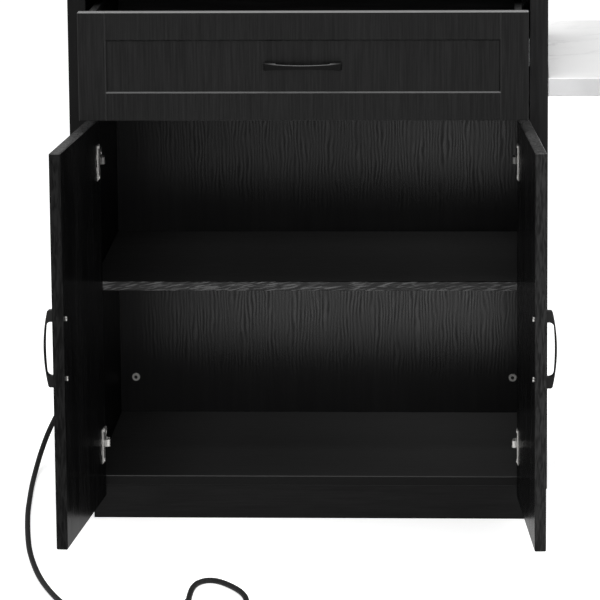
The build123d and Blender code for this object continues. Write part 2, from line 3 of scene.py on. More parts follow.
import bmesh
import bpy
from mathutils import Matrix, Vector


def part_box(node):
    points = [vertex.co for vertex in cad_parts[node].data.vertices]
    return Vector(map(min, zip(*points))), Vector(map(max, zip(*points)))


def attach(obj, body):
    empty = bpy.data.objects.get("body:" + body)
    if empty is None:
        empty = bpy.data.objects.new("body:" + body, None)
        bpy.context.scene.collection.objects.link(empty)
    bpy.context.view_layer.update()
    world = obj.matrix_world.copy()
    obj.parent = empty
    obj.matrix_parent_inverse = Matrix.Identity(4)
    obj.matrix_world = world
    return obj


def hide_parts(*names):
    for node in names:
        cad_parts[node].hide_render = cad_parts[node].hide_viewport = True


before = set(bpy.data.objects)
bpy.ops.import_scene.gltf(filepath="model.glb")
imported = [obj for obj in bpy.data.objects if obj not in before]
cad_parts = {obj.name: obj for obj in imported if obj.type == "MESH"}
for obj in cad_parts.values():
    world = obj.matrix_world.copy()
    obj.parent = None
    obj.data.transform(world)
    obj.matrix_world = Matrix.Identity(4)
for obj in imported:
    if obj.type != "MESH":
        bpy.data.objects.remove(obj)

bl_info = {
    "name": "Kitchen cart looks",
    "version": (1, 0, 0),
    "blender": (4, 5, 0),
    "location": "View3D > Sidebar > Cart",
    "description": "Finishes, small fittings, cord and stage for the kitchen cart",
    "category": "Object",
}

# Cord route in metres: across, behind the front plane, and height where it hangs.
# It follows the CAD's, with the loop before the cart eased.
FRONT_PLANE = -0.2575
CORD_DROP = ((-0.404, 0.452, 0.262), (-0.404, 0.452, 0.207))
CORD_AIR = (
    (-0.426, 0.450, 0.152), (-0.455, 0.444, 0.105), (-0.4795, 0.420, 0.062), (-0.4915, 0.372, 0.028),
    (-0.495, 0.306, 0.006))
CORD_FLOOR = (
    (-0.491, 0.222), (-0.4845, 0.132), (-0.4775, 0.042), (-0.468, -0.046), (-0.458, -0.128), (-0.447, -0.206),
    (-0.430, -0.296), (-0.408, -0.390), (-0.378, -0.482), (-0.354, -0.540), (-0.300, -0.592),
    (-0.236, -0.596), (-0.190, -0.563), (-0.166, -0.514), (-0.1672, -0.475), (-0.166, -0.4305),
    (-0.160, -0.4015), (-0.147, -0.386), (-0.131, -0.3885), (-0.113, -0.4085), (-0.0925, -0.4435),
    (-0.079, -0.482), (-0.0735, -0.535))
CORD_LEAD = ((-0.072, -0.572), (-0.072, -0.616))
COIL_STEPS = 16

# Boards that share a finish
CROSS_BOARDS = ("middle_rail", "plinth_front", "plinth_back", "rear_rails")
INNER_BOARDS = ("top_front_rail", "drawer_back")
DEEP_BOARDS = ("plinth_left", "plinth_right", "plinth_brace", "drawer_left_side", "drawer_right_side",
               "drawer_bottom")
PULL_SCREWS = ("left_pull_screws", "right_pull_screws", "drawer_pull_screws")
DRAWER_FRAME = 0.044

# Open door: its turn from closed, the middle of a hinge cup's flange (across, and behind the front plane),
# and the flange's thickness
DOOR_REST = math.radians(94.5)
CUP_FACE = (-0.3405, -0.0221)
FLANGE = 0.0012
LEVELS = ("upper", "lower")
SIDES = ("left", "right")

# Screws of a hinge's plate and arm, measured from the hinge arm's own box
PLATE_SCREW_END = 0.007
PLATE_SCREW_DEPTH = 0.0402
PLATE_THICKNESS = 0.002
ARM_SCREW_BACK = 0.012
ARM_HEIGHT = 0.0135
CROSS_RISE = 0.0001
SCREW_FACETS = 24
SCREW_CROWN = 0.36

# Camera fitted to the photo: metres, radians, and millimetres for lens and sensor
CAMERA_PLACE = (0.3344, -7.0767, 1.7530)
CAMERA_YAW = 0.0513
CAMERA_PITCH = 0.1990
CAMERA_ROLL = -0.0090
CAMERA_LENS = 254.55
CAMERA_SENSOR = 36.0
CAMERA_FAR = 100.0

# Lamps, named as their powers are: place and width in metres
LAMPS = {
    "key": ((0.2, -0.9, 4.5), 4.0),
    "fill": ((3.2, -2.6, 2.4), 2.2),
    "front": ((0.3, -6.2, 2.5), 3.0),
}
LAMP_AIM = (0, 0, 0.45)
FLOOR_REACH = 30.0
WHITE = (1.0, 1.0, 1.0, 1.0)
BLACK = (0.0, 0.0, 0.0)

# How far figures are drawn out along the grain
GRAIN_STRETCH = 0.05
HAIR_STRETCH = 0.025
RIDGE_STRETCH = 0.25

# Light painted on boards inside the cart: from place to place in metres, from share to share
LEVEL_LEFT = (-0.34, -0.14, 0.26, 0.54)
LEVEL_RIGHT = (-0.14, 0.38, 0.0, 0.46)
REAR_LEFT = (-0.36, 0.0, 0.35, 0.78)
REAR_RIGHT = (0.0, 0.26, 0.0, 0.33)
REAR_CORNER = (0.28, 0.36, 0.0, 0.2)
REAR_BELOW_SHELF = (0.14, 0.26, 0.26, 0.74)
REAR_ABOVE_SHELF = (0.44, 0.55, 0.22, 0.36)
REAR_OUTSIDE = 0.06


def colour(name, description, value):
    return bpy.props.FloatVectorProperty(
        name=name, description=description, subtype="COLOR", size=3, min=0.0, max=1.0, default=value)


def length(name, description, value):
    return bpy.props.FloatProperty(name=name, description=description, unit="LENGTH", min=0.0, default=value)


def amount(name, description, value):
    return bpy.props.FloatProperty(
        name=name, description=description, subtype="FACTOR", min=0.0, default=value)


class CartColours(bpy.types.PropertyGroup):
    # Also the base of the painted shade on the side panels' inner faces
    grain_dark: colour("Dark grain", "Ground of the black wood grain", (0.0030, 0.0030, 0.0031))
    grain_light: colour("Light grain", "Streaks of the black wood grain", (0.013, 0.013, 0.0132))
    # Dark front face of the bottom panel, and painted shade on the shelf's top along its front edge
    dark_edge_and_shade: colour("Dark edge", "Ground of the shelf's front edge", (0.006, 0.006, 0.006))
    # Pale figure of the shelf's front and pale hairlines of the grain, and also the colour of painted
    # highlights and painted light on edges, tops and level boards
    pale_figure_and_painted_light: colour("Light edge", "Lit edges and the figure of the shelf's front", (0.105, 0.105, 0.105))
    marble: colour("Marble", "Ground of the marble tops", (0.95, 0.95, 0.95))
    vein: colour("Vein", "Veins of the marble tops", (0.36, 0.36, 0.37))
    # Also the colour of painted shade in screw sockets, on screw chamfers and in cross recesses
    metal: colour("Black metal", "Pulls and brackets", (0.0045, 0.0045, 0.0045))
    # Also darkened for painted shade on hinge cups and upper hinge arms and links
    nickel: colour("Nickel", "Hinges and screws", (0.62, 0.61, 0.59))
    zinc: colour("Zinc", "Drawer slides", (0.55, 0.56, 0.57))
    plastic: colour("Plastic", "Power strip and plug", (0.016, 0.016, 0.017))
    jacket: colour("Jacket", "Cord jacket", (0.018, 0.018, 0.018))
    brass: colour("Brass", "Plug blades", (0.72, 0.52, 0.22))
    floor: colour("Floor", "Studio floor", (0.90, 0.90, 0.90))


class CartSizes(bpy.types.PropertyGroup):
    cord_diameter: length("Cord diameter", "Diameter of the power cord", 0.009)
    cord_length: length("Cord length", "Real length of the power cord", 3.03)
    coil_radius: length("Coil radius", "Outer turn of the wound cord", 0.053)
    coil_pitch: length("Coil pitch", "Space between turns", 0.0096)
    coil_low: length("Coil height", "Middle of the lowest turns above the floor", 0.0066)
    coil_in: bpy.props.FloatProperty(name="Turns in", description="Turns wound inwards", default=2.0)
    coil_climb: bpy.props.FloatProperty(name="Turns climbing", description="Turns that climb", default=0.5)
    coil_out: bpy.props.FloatProperty(name="Turns out", description="Turns wound outwards", default=1.75)
    screw_head: length("Screw head", "Diameter of a hinge screw's head", 0.0068)
    screw_rise: length("Screw rise", "Height of a hinge screw's head", 0.0012)
    cross_width: length("Cross width", "Width of a cross recess", 0.0011)
    cross_length: length("Cross length", "Length of a cross recess", 0.0044)
    cup_screws: length("Cup screws", "Distance between the two screws of a hinge cup", 0.050)
    rim_width: length("Rim width", "Width of the pressed rim along a hinge cup's flange", 0.0018)
    rim_height: length("Rim height", "Height of the pressed rim above the door", 0.0020)
    rim_length: length("Rim length", "Length of the pressed rim", 0.056)
    rim_reach: length("Rim reach", "From the middle of the flange to its pressed rim", 0.0115)


class CartLight(bpy.types.PropertyGroup):
    world: amount("World light", "Strength of the light from all round", 0.45)
    key: amount("Key light", "Power of the soft light overhead", 150.0)
    fill: amount("Fill light", "Power of the soft light on the right", 30.0)
    front: amount("Front light", "Power of the low soft light before the cart", 95.0)
    floor_glow: amount("Floor glow", "Light given off by the floor", 0.62)


class Sock:
    """A value in a shader tree; sums on it make nodes."""

    def __init__(self, tree, socket=None):
        self.tree = tree
        self.socket = socket

    def node(self, kind, settings, inputs, out=0):
        """New node of that kind: settings first, then socket values or links."""
        made = self.tree.nodes.new(kind)
        for key, value in settings.items():
            setattr(made, key, value)
        for key, value in inputs.items():
            if isinstance(value, Sock):
                self.tree.links.new(value.socket, made.inputs[key])
            else:
                made.inputs[key].default_value = value
        return Sock(self.tree, made.outputs[out])

    def maths(self, operation, first, second):
        return self.node("ShaderNodeMath", {"operation": operation}, {0: first, 1: second})

    def __add__(self, other):
        return self.maths("ADD", self, other)

    def __radd__(self, other):
        return self.maths("ADD", other, self)

    def __sub__(self, other):
        return self.maths("SUBTRACT", self, other)

    def __rsub__(self, other):
        return self.maths("SUBTRACT", other, self)

    def __mul__(self, other):
        return self.maths("MULTIPLY", self, other)

    def __rmul__(self, other):
        return self.maths("MULTIPLY", other, self)

    def __truediv__(self, other):
        return self.maths("DIVIDE", self, other)

    def __rtruediv__(self, other):
        return self.maths("DIVIDE", other, self)

    def __lt__(self, other):
        return self.maths("LESS_THAN", self, other)

    def __gt__(self, other):
        return self.maths("GREATER_THAN", self, other)

    def __abs__(self):
        return self.maths("ABSOLUTE", self, 0.0)


class Finish:
    """One material and the wires used in it."""

    def __init__(self, name, roughness, metallic=0.0, specular=0.5):
        self.material = bpy.data.materials.new(name)
        self.material.use_nodes = True
        tree = self.material.node_tree
        self.shader = tree.nodes["Principled BSDF"]
        self.start = Sock(tree)
        self.set("Roughness", roughness)
        self.set("Metallic", metallic)
        self.set("Specular IOR Level", specular)
        self.place = self.start.node("ShaderNodeTexCoord", {}, {}, "Object")

    def set(self, socket, value):
        if isinstance(value, Sock):
            self.start.tree.links.new(value.socket, self.shader.inputs[socket])
        else:
            self.shader.inputs[socket].default_value = value

    def axis(self, letter):
        return self.start.node("ShaderNodeSeparateXYZ", {}, {"Vector": self.place}, letter)

    def stretched(self, scale):
        return self.start.node("ShaderNodeMapping", {}, {"Vector": self.place, "Scale": scale})

    def slanted(self, size, turn):
        """Place measured in strokes of that size, turned."""
        return self.start.node("ShaderNodeMapping", {"vector_type": "TEXTURE"}, {
            "Vector": self.place, "Scale": size, "Rotation": turn})

    def noise(self, place, scale, detail=3.0, rough=0.55, twist=0.0):
        return self.start.node("ShaderNodeTexNoise", {}, {
            "Vector": place, "Scale": scale, "Detail": detail, "Roughness": rough, "Distortion": twist})

    def lines(self, place, across, scale, waver):
        """Fine wavering lines that follow one another along an axis."""
        return self.start.node("ShaderNodeTexWave", {"bands_direction": across}, {
            "Vector": place, "Scale": scale, "Distortion": waver, "Detail": 2.0, "Detail Scale": 1.0})

    def ramp(self, value, low, high, to_low=0.0, to_high=1.0):
        return self.start.node("ShaderNodeMapRange", {"interpolation_type": "SMOOTHSTEP"}, {
            "Value": value, "From Min": low, "From Max": high, "To Min": to_low, "To Max": to_high})

    def blend(self, share, first, second):
        ends = [end if isinstance(end, Sock) else (*end, 1.0) for end in (first, second)]
        return self.start.node("ShaderNodeMix", {"data_type": "RGBA"}, {0: share, 6: ends[0], 7: ends[1]}, 2)

    def bump(self, height, strength, distance):
        self.set("Normal", self.start.node("ShaderNodeBump", {}, {
            "Height": height, "Strength": strength, "Distance": distance}))


# Finishes

def times(share, base):
    """A colour made darker or paler."""
    return [share * part for part in base]


def drawn(along, stretch):
    """Scale that draws a figure out along one axis."""
    return tuple(stretch if axis == along else 1.0 for axis in "XYZ")


def grained(finish, painted_lift):
    """Dark and light grain over a finish's figure, scaled by a factor of painted light and shade."""
    colours = bpy.context.scene.cart_colours
    return finish.blend(finish.figure, times(painted_lift, colours.grain_dark), times(painted_lift, colours.grain_light))


def wood(name, along, roughness=0.42, specular=0.15, painted_lift=1.0, lacquer=0.0, contrast=1.0, combed=0.0):
    """Black wood-grain board, its grain along one axis.

    The colours are scaled by a factor of painted light and shade, contrast is that of the figure,
    combed is the share of pale hairlines, and lacquer is the coat's weight, which follows fine ridges.
    """
    finish = Finish(name, roughness, specular=specular)
    place = finish.stretched(drawn(along, GRAIN_STRETCH))
    bands = finish.noise(place, scale=14.0, detail=4.0, rough=0.6, twist=0.5)
    streaks = finish.noise(place, scale=120.0, detail=3.0, rough=0.6)
    pores = finish.noise(place, scale=420.0, detail=2.0, rough=0.5)
    finish.figure = finish.ramp(streaks * 0.6 + bands * 0.4, 0.38, 0.72, 0.5 - contrast / 2, 0.5 + contrast / 2)
    finish.base = grained(finish, painted_lift)
    if combed:
        hairs = finish.noise(finish.stretched(drawn(along, HAIR_STRETCH)), scale=460.0, detail=2.0, rough=0.6,
                             twist=0.2)
        share = finish.ramp(hairs, 0.34, 0.68) * combed
        finish.base = finish.blend(share, finish.base, bpy.context.scene.cart_colours.pale_figure_and_painted_light)
    finish.set("Base Color", finish.base)
    if lacquer:
        across = "X" if along == "Z" else "Z"
        ridges = finish.lines(finish.stretched(drawn(along, RIDGE_STRETCH)), across, scale=52.0, waver=9.0)
        cells = finish.noise(finish.stretched((1.0, 1.0, 0.5)), scale=34.0, detail=2.0)
        patches = finish.ramp(cells, 0.36, 0.64, 0.3, 1.0)
        finish.lacquer = lacquer * (0.66 + (ridges - 0.5) * patches * 0.72)
        finish.set("Coat Weight", finish.lacquer)
        finish.set("Coat Roughness", 0.22)
    finish.set("Roughness", roughness + (pores - 0.5) * 0.22 + (bands - 0.5) * 0.10)
    finish.bump(streaks * 0.6 + pores * 0.4, strength=0.30, distance=0.0006)
    return finish


def painted_level_light(finish, node, front, brightest):
    """Colour of a level board in the cart, with painted light: paler inwards and to the right, where less light
    falls.
    """
    low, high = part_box(node)
    inward = finish.ramp(finish.axis("Y"), low.y, high.y, front, 1.0)
    across = finish.ramp(finish.axis("X"), *LEVEL_LEFT) + finish.ramp(finish.axis("X"), *LEVEL_RIGHT)
    pale = times(brightest, bpy.context.scene.cart_colours.pale_figure_and_painted_light)
    return finish.blend(inward * across * (0.95 + finish.figure * 0.1), BLACK, pale)


def shelf_wood():
    """Black board whose front edge shows a lighter cross figure, with painted shade as a dark band on its top
    along the front.
    """
    colours = bpy.context.scene.cart_colours
    skin, arris = 0.0012, 0.006
    finish = wood("shelf_grain", "X", contrast=0.6)
    depth = finish.axis("Y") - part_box("shelf")[0].y
    strokes = finish.slanted(size=(0.022, 0.022, 0.0021), turn=(0.0, -0.16, 0.0))
    figure = finish.ramp(finish.noise(strokes, scale=1.0, detail=1.5, rough=0.5, twist=0.7), 0.48, 0.68)
    veined = finish.blend(figure, times(0.16, colours.pale_figure_and_painted_light), times(0.95, colours.pale_figure_and_painted_light))
    # Painted shade in a dark band on the top along the front edge; painted light on the rest of the top
    top = finish.blend(depth < arris, painted_level_light(finish, "shelf", front=0.41, brightest=1.7), colours.dark_edge_and_shade)
    finish.set("Base Color", finish.blend(depth < skin, top, veined))
    return finish


def floor_wood():
    """Black board with a painted highlight, a fine light line, along the top of its dark front edge."""
    colours = bpy.context.scene.cart_colours
    skin, line_width = 0.0006, 0.0012
    finish = wood("floor_grain", "X", specular=0.06, contrast=0.6)
    low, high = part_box("bottom_panel")
    depth = finish.axis("Y") - low.y
    # Painted highlight: a fine light line along the front top edge
    line = (depth < line_width) * (finish.axis("Z") > high.z - line_width)
    top = painted_level_light(finish, "bottom_panel", front=0.27, brightest=1.9)
    dark = finish.blend(depth < skin, top, colours.dark_edge_and_shade)
    finish.set("Base Color", finish.blend(line, dark, times(0.55, colours.pale_figure_and_painted_light)))
    return finish


def rear_wood():
    """Black lacquered board; a painted reflection in its coat makes its inner face brighter below the shelf and
    towards the right.
    """
    skin = 0.0005
    finish = wood("rear_grain", "Z", specular=0.0, painted_lift=1.9, lacquer=1.0, contrast=0.2)
    # Painted reflection: the coat's weight on the inner face is shaped across and up the board, brighter below
    # the shelf and towards the right
    across, up = finish.axis("X"), finish.axis("Z")
    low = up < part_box("shelf")[1].z
    high = 1 - low
    right = finish.ramp(across, *REAR_LEFT) + high * finish.ramp(across, *REAR_RIGHT)
    shown = right - low * finish.ramp(across, *REAR_CORNER)
    rise = low * finish.ramp(up, *REAR_BELOW_SHELF) + high * finish.ramp(up, *REAR_ABOVE_SHELF)
    inner = finish.axis("Y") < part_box("back_panel")[0].y + skin
    finish.set("Coat Weight", finish.lacquer * (inner * shown * rise + (1 - inner) * REAR_OUTSIDE))
    finish.set("Coat IOR", 1.72)
    return finish


def drawer_wood():
    """Framed black board with painted highlights on its top edge, its field's lower rim and its joints."""
    colours = bpy.context.scene.cart_colours
    skin, half_line = 0.0013, 0.0011
    finish = wood("drawer_grain", "Z", painted_lift=0.15, lacquer=0.04, combed=0.045)
    low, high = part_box("drawer_front")
    field = high.x - DRAWER_FRAME
    across, up = finish.axis("X"), finish.axis("Z")
    joints = abs(abs(across) - field) < half_line
    top = up > high.z - skin
    rim = (abs(up - (low.z + DRAWER_FRAME + skin)) < half_line) * (abs(across) < field)
    # Painted highlights: faint along the joints, strong on the top edge and half as strong along the field's
    # lower rim
    soft = finish.blend(joints, finish.base, times(0.18, colours.pale_figure_and_painted_light))
    finish.set("Base Color", finish.blend(top + rim * 0.5, soft, times(1.5, colours.pale_figure_and_painted_light)))
    return finish


def door_wood(side, painted_lift, edge, top_edge):
    """Black board whose inner face has its own factor of painted light and shade; its free edge carries painted
    light and its top edge a painted highlight, both finely streaked.
    """
    colours = bpy.context.scene.cart_colours
    skin, edge_skin, top_skin = 0.0005, 0.0032, 0.0016
    finish = wood(f"{side}_door_grain", "Z", roughness=0.24, specular=0.007, painted_lift=1.6)
    low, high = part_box(f"{side}_door")
    way = 1 if side == "left" else -1
    normal = (way * math.sin(DOOR_REST), math.cos(DOOR_REST))
    face = way * CUP_FACE[0] * normal[0] + (FRONT_PLANE + CUP_FACE[1]) * normal[1] - FLANGE
    inner = finish.axis("X") * normal[0] + finish.axis("Y") * normal[1] > face - skin
    free = finish.axis("Y") < low.y + edge_skin
    top = finish.axis("Z") > high.z - top_skin
    fibres = finish.noise(finish.stretched(drawn("Z", 0.16)), scale=300.0, detail=2.0, rough=0.6, twist=0.6)
    streaks = finish.ramp(fibres, 0.34, 0.66)
    # Painted light on the free edge and painted highlight on the top edge
    pale, paler = (
        finish.blend(streaks, times(share * 0.55, colours.pale_figure_and_painted_light), times(share * 1.35, colours.pale_figure_and_painted_light))
        for share in (edge, top_edge))
    shown = finish.blend(free, finish.blend(inner, finish.base, grained(finish, painted_lift)), pale)
    finish.set("Base Color", finish.blend(top, shown, paler))
    return finish


def side_wood(side, painted_lift):
    """Black board whose front edge has its own factor of painted light, and whose inner face is painted dark as
    the cart's shade.
    """
    skin, edge_skin = 0.0004, 0.0015
    finish = wood(f"{side}_side_grain", "Z", painted_lift=0.6)
    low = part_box("right_side_panel")[0]
    inner = abs(finish.axis("X")) < low.x + skin
    front = finish.axis("Y") < low.y + edge_skin
    # Painted shade on the inner face
    shade = times(0.4, bpy.context.scene.cart_colours.grain_dark)
    shown = finish.blend(inner, finish.base, shade)
    finish.set("Base Color", finish.blend(front, shown, grained(finish, painted_lift)))
    return finish


def marble(name, node, fade):
    """White marble print of broad clouds and thin slanted veins.

    It is greyer on the front edge, where the veins are stronger. Painted light makes its ground whiter near its
    left end, against the cart's shadow, and greyer further off.
    """
    colours = bpy.context.scene.cart_colours
    skin = 0.0008
    finish = Finish(name, 0.45, specular=0.12)
    slanted = finish.slanted(size=(0.45, 0.16, 0.16), turn=(0.2, 0.75, 0.9))
    warp = finish.noise(slanted, scale=1.0, detail=5.0, rough=0.6, twist=0.6)
    veins = finish.ramp(abs(warp - 0.5), 0.0, 0.030, 1.0, 0.0)
    thin = finish.noise(slanted, scale=2.6, detail=6.0, rough=0.6, twist=0.8)
    fine = finish.ramp(abs(thin - 0.5), 0.0, 0.020, 0.5, 0.0)
    clouds = finish.ramp(finish.noise(slanted, scale=1.4, detail=3.0), 0.35, 0.75)
    patch = finish.ramp(finish.noise(slanted, scale=0.8, detail=2.0), 0.40, 0.62)
    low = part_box(node)[0]
    edge = finish.axis("Y") < low.y + skin
    share = (veins * 0.30 + fine * 0.16) * patch + clouds * 0.06
    shown = share * (1 + 1.5 * edge) + 0.52 * edge
    # Painted light and shade: whiter ground near the cart, greyer further off
    away = finish.ramp(finish.axis("X"), low.x, low.x + fade)
    ground = finish.blend(away, colours.marble, times(0.82, colours.marble))
    finish.set("Base Color", finish.blend(shown, ground, colours.vein))
    finish.set("Roughness", 0.42 + clouds * 0.08)
    return finish


def metal(name, base, roughness, metallic, brushed=None, specular=0.5):
    """Metal with a faint mottle, or brushed along one axis."""
    finish = Finish(name, roughness, metallic=metallic, specular=specular)
    marks = finish.noise(finish.stretched(drawn(brushed, GRAIN_STRETCH)), scale=700.0, detail=3.0, rough=0.6)
    finish.base = finish.blend(finish.ramp(marks, 0.3, 0.7, 0.0, 0.25), base, times(0.55, base))
    finish.set("Base Color", finish.base)
    finish.set("Roughness", roughness + (marks - 0.5) * 0.18)
    finish.bump(marks, strength=0.12, distance=0.0002)
    return finish


def drawer_pull_metal():
    """Black metal with a painted highlight along its upper edge, weaker towards its ends."""
    colours = bpy.context.scene.cart_colours
    crown, bow = 0.0027, 0.0025
    finish = metal("pull_black", colours.metal, roughness=0.3, metallic=0.0, specular=0.05)
    low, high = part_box("drawer_pull")
    share = finish.axis("X") / high.x
    upper = finish.axis("Z") > (low.z + high.z) / 2 + crown + bow * (share * share)
    lit = finish.ramp(abs(share), 0.66, 0.96, 1.0, 0.15)
    # Painted highlight along the upper edge
    finish.set("Base Color", finish.blend(upper * lit, finish.base, colours.pale_figure_and_painted_light))
    return finish


def back_screw_metal():
    """Bright ring between a socket and a chamfer that are painted dark as painted shade."""
    colours = bpy.context.scene.cart_colours
    socket, ring = 0.0031, 0.0071
    finish = metal("ring_steel", colours.nickel, roughness=0.4, metallic=0.0)
    low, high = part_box("back_panel_screws")
    reach = (high.x - low.x) / 2 - (high.z - low.z) / 2
    across = abs(finish.axis("X")) - reach
    up = finish.axis("Z") - (low.z + high.z) / 2
    spread = across * across + up * up
    # Painted shade in the socket and on the chamfer
    dark = (spread < socket ** 2) + (spread > ring ** 2)
    finish.set("Base Color", finish.blend(dark, finish.base, colours.metal))
    return finish


def plastic(name, base, roughness, specular=0.45):
    """Moulded plastic with a fine spark-eroded skin."""
    finish = Finish(name, roughness, specular=specular)
    skin = finish.noise(finish.place, scale=1400.0, detail=2.0, rough=0.5)
    cloud = finish.noise(finish.place, scale=30.0, detail=2.0, rough=0.5)
    finish.set("Base Color", finish.blend(finish.ramp(cloud, 0.3, 0.7), base, times(1.25, base)))
    finish.set("Roughness", roughness + (skin - 0.5) * 0.2)
    finish.bump(skin, strength=0.18, distance=0.00015)
    return finish


def braid(name, base):
    """Woven jacket of light and dark threads."""
    finish = Finish(name, 0.7, specular=0.1)
    threads = finish.noise(finish.place, scale=650.0, detail=1.0, rough=0.5)
    finish.set("Base Color", finish.blend(finish.ramp(threads, 0.38, 0.62), times(0.5, base), times(1.6, base)))
    finish.set("Roughness", 0.62 + threads * 0.16)
    finish.bump(threads, strength=0.25, distance=0.0004)
    return finish


def paint(finish, *nodes):
    """Gives CAD nodes one finish."""
    for name in nodes:
        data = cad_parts[name].data
        data.materials.clear()
        data.materials.append(finish.material)


# Pieces

def mesh_piece(name, bm, finish, body):
    """Object from a bmesh, at the origin, riding on a body."""
    data = bpy.data.meshes.new(name)
    bm.to_mesh(data)
    bm.free()
    made = bpy.data.objects.new(name, data)
    bpy.context.scene.collection.objects.link(made)
    data.materials.append(finish.material)
    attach(made, body)


def facing(normal, place):
    """Frame at a place whose Z looks along a normal."""
    return Matrix.Translation(place) @ Vector(normal).to_track_quat("Z", "Y").to_matrix().to_4x4()


def add_screw(heads, crosses, spot, sizes):
    """Pan head standing on the spot's plane, and two thin bars just above it that carry the painted shade of a
    cross recess.
    """
    bmesh.ops.create_cone(heads, cap_ends=True, segments=SCREW_FACETS, radius1=sizes.screw_head / 2,
                          radius2=sizes.screw_head * SCREW_CROWN, depth=sizes.screw_rise,
                          matrix=spot @ Matrix.Translation((0, 0, sizes.screw_rise / 2)))
    size = Matrix.Diagonal((sizes.cross_length, sizes.cross_width, CROSS_RISE, 1))
    for turn in (0.0, math.pi / 2):
        bmesh.ops.create_cube(crosses, size=1.0, matrix=spot @ Matrix.Translation((0, 0, sizes.screw_rise))
                              @ Matrix.Rotation(turn, 4, "Z") @ size)


def add_rim(bm, spot, sizes):
    """Pressed rim along the free side of a hinge cup's flange, with rounded corners."""
    size = Matrix.Diagonal((sizes.rim_width, sizes.rim_length, sizes.rim_height, 1))
    bar = bmesh.ops.create_cube(bm, size=1.0, matrix=spot @ size)
    edges = {edge for vert in bar["verts"] for edge in vert.link_edges}
    bmesh.ops.bevel(bm, geom=list(edges), offset=sizes.rim_width * 0.2, offset_type="OFFSET", segments=2,
                    profile=0.5, affect="EDGES", material=-1)


class CART_OT_stage(bpy.types.Operator):
    """Camera, floor, lights and world"""
    bl_idname = "cart.stage"
    bl_label = "Stage"

    def execute(self, context):
        scene = context.scene
        light = scene.cart_light
        up = Vector((0, 0, 1))
        right = Vector((math.cos(CAMERA_YAW), math.sin(CAMERA_YAW), 0))
        ahead = Vector((-math.sin(CAMERA_YAW), math.cos(CAMERA_YAW), 0))
        view = ahead * math.cos(CAMERA_PITCH) - up * math.sin(CAMERA_PITCH)
        rise = up * math.cos(CAMERA_PITCH) + ahead * math.sin(CAMERA_PITCH)
        right_rolled = right * math.cos(CAMERA_ROLL) + rise * math.sin(CAMERA_ROLL)
        rise_rolled = rise * math.cos(CAMERA_ROLL) - right * math.sin(CAMERA_ROLL)
        data = bpy.data.cameras.new("camera")
        data.lens = CAMERA_LENS
        data.sensor_width = CAMERA_SENSOR
        data.clip_end = CAMERA_FAR
        camera = bpy.data.objects.new("camera", data)
        camera.matrix_world = Matrix.Translation(CAMERA_PLACE) @ Matrix(
            (right_rolled, rise_rolled, -view)).transposed().to_4x4()
        scene.collection.objects.link(camera)
        scene.camera = camera

        finish = Finish("floor_white", 0.7, specular=0.1)
        finish.set("Base Color", (*scene.cart_colours.floor, 1.0))
        finish.set("Emission Color", WHITE)
        finish.set("Emission Strength", light.floor_glow)
        bm = bmesh.new()
        bmesh.ops.create_grid(bm, x_segments=1, y_segments=1, size=FLOOR_REACH)
        mesh = bpy.data.meshes.new("floor")
        bm.to_mesh(mesh)
        bm.free()
        mesh.materials.append(finish.material)
        floor = bpy.data.objects.new("floor", mesh)
        scene.collection.objects.link(floor)

        for name, (place, width) in LAMPS.items():
            lamp = bpy.data.lights.new(name, "AREA")
            lamp.shape = "SQUARE"
            lamp.size = width
            lamp.energy = getattr(light, name)
            holder = bpy.data.objects.new(name, lamp)
            holder.visible_glossy = name != "front"
            aim = Vector(LAMP_AIM) - Vector(place)
            holder.matrix_world = Matrix.Translation(place) @ aim.to_track_quat("-Z", "Y").to_matrix().to_4x4()
            scene.collection.objects.link(holder)

        world = bpy.data.worlds.new("studio")
        world.use_nodes = True
        scene.world = world
        tree = world.node_tree
        start = Sock(tree)
        seen = start.node("ShaderNodeLightPath", {}, {}, "Is Camera Ray")
        around = start.node("ShaderNodeBackground", {}, {"Color": WHITE, "Strength": light.world})
        behind = start.node("ShaderNodeBackground", {}, {"Color": WHITE, "Strength": 1.0})
        both = start.node("ShaderNodeMixShader", {}, {0: seen, 1: around, 2: behind})
        tree.links.new(both.socket, tree.nodes["World Output"].inputs["Surface"])
        scene.view_settings.view_transform = "Standard"
        return {"FINISHED"}


